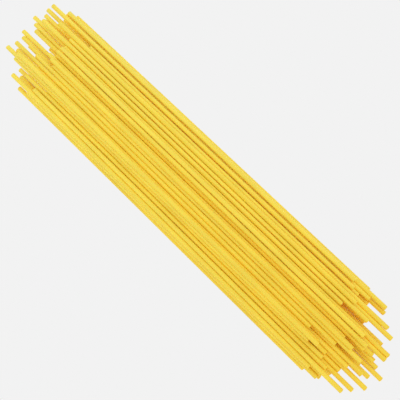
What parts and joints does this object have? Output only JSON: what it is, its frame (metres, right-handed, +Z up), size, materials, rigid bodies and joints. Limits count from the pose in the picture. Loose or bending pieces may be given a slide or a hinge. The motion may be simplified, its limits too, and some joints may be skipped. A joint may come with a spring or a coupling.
{
  "type": "bundle of dry spaghetti",
  "caption": "Loose flat bundle of straight dry spaghetti strands lying side by side, with staggered ends.",
  "frame": {"origin": "on the surface that the bundle lies on, under the middle of its box", "axes": "+X along the strands, +Y across the bundle, +Z up"},
  "size_m": [0.2524, 0.0512, 0.0112],
  "materials": {
    "pasta": "dry semolina pasta, golden yellow, satin matt"
  },
  "bodies": {
    "root": {"spaghetti_bundle": "pasta"}
  },
  "joints": []
}
